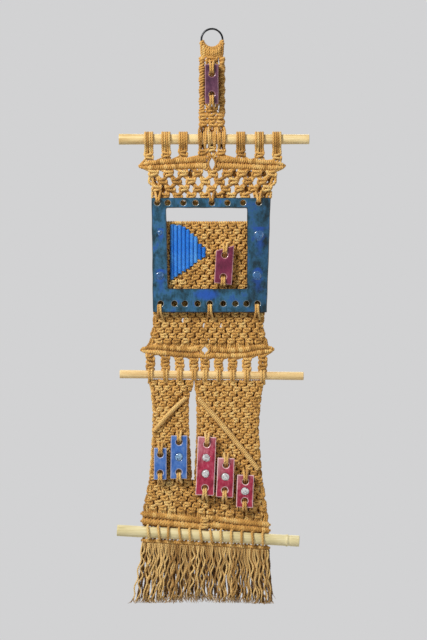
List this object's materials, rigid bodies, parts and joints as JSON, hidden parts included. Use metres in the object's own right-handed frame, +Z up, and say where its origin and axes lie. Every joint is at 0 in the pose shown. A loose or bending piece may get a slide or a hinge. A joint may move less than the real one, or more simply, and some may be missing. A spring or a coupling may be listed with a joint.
{
  "type": "tapestry wall hanging",
  "caption": "Knotted jute wall hanging on a steel ring, with three bamboo dowels, a glazed ceramic frame, ceramic plaques on cord pairs and a long fringe.",
  "frame": {"origin": "inside top of the hanging ring, where the nail or hook carries it", "axes": "+Z up, +X to the right seen from the front, front towards -Y, wall towards +Y"},
  "size_m": [0.2313, 0.0256, 0.6927],
  "materials": {
    "steel": "dark blued wire",
    "jute": "three-ply jute cord",
    "unlaid_jute": "unlaid jute strands",
    "blue_cord": "smooth blue cord",
    "bamboo": "bare, satin",
    "teal_glaze": "mottled blue and teal glaze",
    "plum_glaze": "gloss glaze",
    "wine_glaze": "gloss glaze",
    "sky_glaze": "gloss glaze",
    "rose_glaze": "gloss glaze",
    "glass_drop": "fused glass drop"
  },
  "bodies": {
    "ring": {"hanging_ring": "steel"},
    "ring_cords": {"ring_hitches": "jute"},
    "neck": {"neck_top_knot": "jute", "neck_left_sennit": "jute", "neck_right_sennit": "jute", "neck_knot_panel": "jute", "neck_plaque_cords": "jute"},
    "neck_plaque": {"neck_plaque": "plum_glaze"},
    "upper": {"top_hitch_left_1": "jute", "top_hitch_left_2": "jute", "top_hitch_left_3": "jute", "top_hitch_right_1": "jute", "top_hitch_right_2": "jute", "top_hitch_right_3": "jute", "top_hitch_centre_1": "jute", "top_hitch_centre_2": "jute", "top_hitch_centre_3": "jute", "upper_band_upper_row": "jute", "upper_band_lower_row": "jute", "upper_net": "jute", "ceramic_frame": "teal_glaze", "back_sennit_left": "jute", "back_sennit_right": "jute", "inner_panel": "jute", "blue_triangle": "blue_cord", "inner_plaque_cords": "jute", "lower_net": "jute", "lower_band_upper_row": "jute", "lower_band_lower_row": "jute"},
    "inner_plaque": {"inner_plaque": "wine_glaze"},
    "top_dowel": {"top_dowel": "bamboo"},
    "middle_dowel": {"middle_dowel": "bamboo"},
    "lower": {"left_panel": "jute", "left_diagonal": "jute", "left_lower_panel": "jute", "right_panel": "jute", "right_diagonal": "jute", "right_lower_panel": "jute", "bottom_net": "jute", "bottom_band_upper_row": "jute", "bottom_band_lower_row": "jute", "bottom_hitches": "jute", "blue_plaque_short_cords": "jute", "blue_plaque_tall_cords": "jute", "red_plaque_tall_cords": "jute", "red_plaque_medium_cords": "jute", "red_plaque_short_cords": "jute"},
    "blue_plaque_short": {"blue_plaque_short": "sky_glaze"},
    "blue_plaque_tall": {"blue_plaque_tall": "sky_glaze", "blue_plaque_tall_glass": "glass_drop"},
    "red_plaque_tall": {"red_plaque_tall": "rose_glaze", "red_plaque_tall_glass_1": "glass_drop", "red_plaque_tall_glass_2": "glass_drop"},
    "red_plaque_medium": {"red_plaque_medium": "rose_glaze", "red_plaque_medium_glass": "glass_drop"},
    "red_plaque_short": {"red_plaque_short": "rose_glaze", "red_plaque_short_glass": "glass_drop"},
    "bottom_dowel": {"bottom_dowel": "bamboo"},
    "fringe": {"fringe": "unlaid_jute"}
  },
  "joints": [
    {"name": "ring_turn", "type": "hinge", "parent": "ring", "child": "ring_cords", "pos_m": [0, 0, -0.0109], "axis": [0, 1, 0], "range_deg": [-15, 15]},
    {"name": "neck_fold", "type": "hinge", "parent": "ring_cords", "child": "neck", "pos_m": [0, 0, -0.0302], "axis": [1, 0, 0], "range_deg": [-90, 90]},
    {"name": "upper_fold", "type": "hinge", "parent": "neck", "child": "upper", "pos_m": [0, 0, -0.131], "axis": [1, 0, 0], "range_deg": [-90, 90]},
    {"name": "lower_fold", "type": "hinge", "parent": "upper", "child": "lower", "pos_m": [-0.0004, 0, -0.4146], "axis": [0.9999, 0, -0.0105], "range_deg": [-90, 90]},
    {"name": "fringe_fold", "type": "hinge", "parent": "lower", "child": "fringe", "pos_m": [-0.00548, 0, -0.62267], "axis": [0.9982, 0, -0.0593], "range_deg": [-90, 90]},
    {"name": "top_dowel_slide", "type": "slide", "parent": "upper", "child": "top_dowel", "axis": [1, 0, 0], "range_m": [-0.02, 0.02]},
    {"name": "middle_dowel_slide", "type": "slide", "parent": "upper", "child": "middle_dowel", "axis": [0.9999, 0, -0.0105], "range_m": [-0.02, 0.02]},
    {"name": "bottom_dowel_slide", "type": "slide", "parent": "lower", "child": "bottom_dowel", "axis": [0.9982, 0, -0.0593], "range_m": [-0.015, 0.015]},
    {"name": "neck_plaque_turn", "type": "hinge", "parent": "neck", "child": "neck_plaque", "pos_m": [-0.0003, -0.0097, -0.0659], "axis": [0, 0, 1], "range_deg": [-8, 8]},
    {"name": "inner_plaque_turn", "type": "hinge", "parent": "upper", "child": "inner_plaque", "pos_m": [0.0144, -0.0097, -0.2837], "axis": [0.0628, 0, 0.998], "range_deg": [-8, 8]},
    {"name": "blue_plaque_short_turn", "type": "hinge", "parent": "lower", "child": "blue_plaque_short", "pos_m": [-0.062, -0.0097, -0.5206], "axis": [0.0087, 0, 1], "range_deg": [-8, 8]},
    {"name": "blue_plaque_tall_turn", "type": "hinge", "parent": "lower", "child": "blue_plaque_tall", "pos_m": [-0.0396, -0.0097, -0.5126], "axis": [0.0087, 0, 1], "range_deg": [-8, 8]},
    {"name": "red_plaque_tall_turn", "type": "hinge", "parent": "lower", "child": "red_plaque_tall", "pos_m": [-0.0073, -0.0097, -0.5234], "axis": [0.0436, 0, 0.999], "range_deg": [-8, 8]},
    {"name": "red_plaque_medium_turn", "type": "hinge", "parent": "lower", "child": "red_plaque_medium", "pos_m": [0.016, -0.0097, -0.5372], "axis": [0.0436, 0, 0.999], "range_deg": [-8, 8]},
    {"name": "red_plaque_short_turn", "type": "hinge", "parent": "lower", "child": "red_plaque_short", "pos_m": [0.0396, -0.0097, -0.5534], "axis": [0.0349, 0, 0.9994], "range_deg": [-8, 8]}
  ]
}
